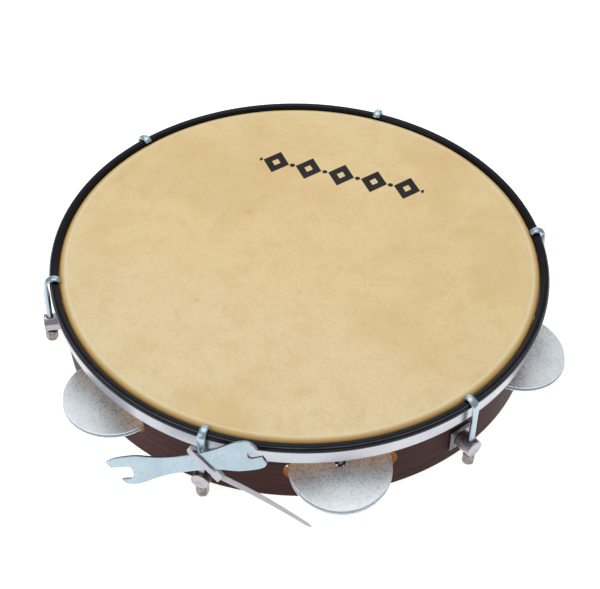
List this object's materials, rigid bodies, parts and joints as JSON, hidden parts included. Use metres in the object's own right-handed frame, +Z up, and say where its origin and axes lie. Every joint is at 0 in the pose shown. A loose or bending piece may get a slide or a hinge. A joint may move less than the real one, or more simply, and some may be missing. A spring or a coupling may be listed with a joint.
{
  "type": "tambourine",
  "caption": "Shallow wooden frame drum: skin head held by a hoop and hooks with tuning nuts, paired jingles on pins in slots through the rim, and a tuning key tied to one hook.",
  "frame": {"origin": "centre of the rim's open bottom edge, on the surface the drum lies on", "axes": "+Z up through the skin, along the drum axis; X and Y lie in the plane of the skin"},
  "size_m": [0.2975, 0.2816, 0.05],
  "materials": {
    "rosewood_veneer": "dark red-brown veneer, satin lacquer",
    "goat_skin": "translucent cream skin, matt",
    "black_edging": "gloss black round edging",
    "bright_steel": "satin bright steel",
    "bright_zinc": "bright zinc plate, bluish",
    "satin_nickel": "worn nickel plate",
    "tinned_sheet": "spangled tinned sheet",
    "dull_sheet": "dull grey sheet steel",
    "natural_nylon": "translucent natural nylon"
  },
  "bodies": {
    "frame_drum": {"shell": "rosewood_veneer", "head": "goat_skin", "lug_plate_1": "satin_nickel", "lug_post_1": "satin_nickel", "lug_screw_1": "bright_steel", "lug_plate_2": "satin_nickel", "lug_post_2": "satin_nickel", "lug_screw_2": "bright_steel", "lug_plate_3": "satin_nickel", "lug_post_3": "satin_nickel", "lug_screw_3": "bright_steel", "lug_plate_4": "satin_nickel", "lug_post_4": "satin_nickel", "lug_screw_4": "bright_steel", "lug_plate_5": "satin_nickel", "lug_post_5": "satin_nickel", "lug_screw_5": "bright_steel", "lug_plate_6": "satin_nickel", "lug_post_6": "satin_nickel", "lug_screw_6": "bright_steel", "jingle_pin_1": "bright_steel", "jingle_pin_2": "bright_steel", "jingle_pin_3": "bright_steel", "jingle_pin_4": "bright_steel", "jingle_pin_5": "bright_steel"},
    "tension_hoop": {"flesh_hoop": "bright_steel", "counter_hoop": "bright_steel", "hoop_trim": "black_edging", "tension_hook_1": "bright_zinc", "tension_hook_2": "bright_zinc", "tension_hook_3": "bright_zinc", "tension_hook_4": "bright_zinc", "tension_hook_5": "bright_zinc", "tension_hook_6": "bright_zinc"},
    "nut_1": {"tension_nut_1": "satin_nickel"},
    "nut_2": {"tension_nut_2": "satin_nickel"},
    "nut_3": {"tension_nut_3": "satin_nickel"},
    "nut_4": {"tension_nut_4": "satin_nickel"},
    "nut_5": {"tension_nut_5": "satin_nickel"},
    "nut_6": {"tension_nut_6": "satin_nickel"},
    "key": {"tuning_key": "bright_zinc", "cable_tie": "natural_nylon"},
    "lower_jingle_1": {"jingle_lower_1": "tinned_sheet"},
    "damper_jingle_1": {"jingle_damper_1": "dull_sheet"},
    "upper_jingle_1": {"jingle_upper_1": "tinned_sheet"},
    "lower_jingle_2": {"jingle_lower_2": "tinned_sheet"},
    "damper_jingle_2": {"jingle_damper_2": "dull_sheet"},
    "upper_jingle_2": {"jingle_upper_2": "tinned_sheet"},
    "lower_jingle_3": {"jingle_lower_3": "tinned_sheet"},
    "damper_jingle_3": {"jingle_damper_3": "dull_sheet"},
    "upper_jingle_3": {"jingle_upper_3": "tinned_sheet"},
    "lower_jingle_4": {"jingle_lower_4": "tinned_sheet"},
    "damper_jingle_4": {"jingle_damper_4": "dull_sheet"},
    "upper_jingle_4": {"jingle_upper_4": "tinned_sheet"},
    "lower_jingle_5": {"jingle_lower_5": "tinned_sheet"},
    "damper_jingle_5": {"jingle_damper_5": "dull_sheet"},
    "upper_jingle_5": {"jingle_upper_5": "tinned_sheet"}
  },
  "joints": [
    {"name": "hoop_tune", "type": "slide", "parent": "frame_drum", "child": "tension_hoop", "axis": [0, 0, 1], "range_m": [-0.001, 0.001]},
    {"name": "nut_turn_1", "type": "hinge", "parent": "frame_drum", "child": "nut_1", "pos_m": [-0.12573, 0.0508, 0.0062], "axis": [0, 0, 1], "range_deg": [-515, 515]},
    {"name": "nut_turn_2", "type": "hinge", "parent": "frame_drum", "child": "nut_2", "pos_m": [-0.02703, 0.13288, 0.0062], "axis": [0, 0, 1], "range_deg": [-515, 515]},
    {"name": "nut_turn_3", "type": "hinge", "parent": "frame_drum", "child": "nut_3", "pos_m": [0.10685, 0.08348, 0.0062], "axis": [0, 0, 1], "range_deg": [-515, 515]},
    {"name": "nut_turn_4", "type": "hinge", "parent": "frame_drum", "child": "nut_4", "pos_m": [0.12573, -0.0508, 0.0062], "axis": [0, 0, 1], "range_deg": [-515, 515]},
    {"name": "nut_turn_5", "type": "hinge", "parent": "frame_drum", "child": "nut_5", "pos_m": [0.01887, -0.13428, 0.0062], "axis": [0, 0, 1], "range_deg": [-515, 515]},
    {"name": "nut_turn_6", "type": "hinge", "parent": "frame_drum", "child": "nut_6", "pos_m": [-0.10685, -0.08348, 0.0062], "axis": [0, 0, 1], "range_deg": [-515, 515]},
    {"name": "key_swing", "type": "hinge", "parent": "tension_hoop", "child": "key", "pos_m": [-0.10685, -0.08348, 0.0324], "axis": [0, 0, 1], "range_deg": [-18, 5]},
    {"name": "lower_lift_1", "type": "slide", "parent": "frame_drum", "child": "lower_jingle_1", "axis": [0, 0, 1], "range_m": [0, 0.0015]},
    {"name": "damper_lift_1", "type": "slide", "parent": "lower_jingle_1", "child": "damper_jingle_1", "axis": [0, 0, 1], "range_m": [0, 0.0015]},
    {"name": "upper_lift_1", "type": "slide", "parent": "damper_jingle_1", "child": "upper_jingle_1", "axis": [0, 0, 1], "range_m": [0, 0.0015]},
    {"name": "lower_lift_2", "type": "slide", "parent": "frame_drum", "child": "lower_jingle_2", "axis": [0, 0, 1], "range_m": [0, 0.0015]},
    {"name": "damper_lift_2", "type": "slide", "parent": "lower_jingle_2", "child": "damper_jingle_2", "axis": [0, 0, 1], "range_m": [0, 0.0015]},
    {"name": "upper_lift_2", "type": "slide", "parent": "damper_jingle_2", "child": "upper_jingle_2", "axis": [0, 0, 1], "range_m": [0, 0.0015]},
    {"name": "lower_lift_3", "type": "slide", "parent": "frame_drum", "child": "lower_jingle_3", "axis": [0, 0, 1], "range_m": [0, 0.0015]},
    {"name": "damper_lift_3", "type": "slide", "parent": "lower_jingle_3", "child": "damper_jingle_3", "axis": [0, 0, 1], "range_m": [0, 0.0015]},
    {"name": "upper_lift_3", "type": "slide", "parent": "damper_jingle_3", "child": "upper_jingle_3", "axis": [0, 0, 1], "range_m": [0, 0.0015]},
    {"name": "lower_lift_4", "type": "slide", "parent": "frame_drum", "child": "lower_jingle_4", "axis": [0, 0, 1], "range_m": [0, 0.0015]},
    {"name": "damper_lift_4", "type": "slide", "parent": "lower_jingle_4", "child": "damper_jingle_4", "axis": [0, 0, 1], "range_m": [0, 0.0015]},
    {"name": "upper_lift_4", "type": "slide", "parent": "damper_jingle_4", "child": "upper_jingle_4", "axis": [0, 0, 1], "range_m": [0, 0.0015]},
    {"name": "lower_lift_5", "type": "slide", "parent": "frame_drum", "child": "lower_jingle_5", "axis": [0, 0, 1], "range_m": [0, 0.0015]},
    {"name": "damper_lift_5", "type": "slide", "parent": "lower_jingle_5", "child": "damper_jingle_5", "axis": [0, 0, 1], "range_m": [0, 0.0015]},
    {"name": "upper_lift_5", "type": "slide", "parent": "damper_jingle_5", "child": "upper_jingle_5", "axis": [0, 0, 1], "range_m": [0, 0.0015]}
  ],
  "couplings": [
    {"joint": "nut_turn_1", "follows": "hoop_tune", "rad_per_m": -8976},
    {"joint": "nut_turn_2", "follows": "hoop_tune", "rad_per_m": -8976},
    {"joint": "nut_turn_3", "follows": "hoop_tune", "rad_per_m": -8976},
    {"joint": "nut_turn_4", "follows": "hoop_tune", "rad_per_m": -8976},
    {"joint": "nut_turn_5", "follows": "hoop_tune", "rad_per_m": -8976},
    {"joint": "nut_turn_6", "follows": "hoop_tune", "rad_per_m": -8976}
  ]
}
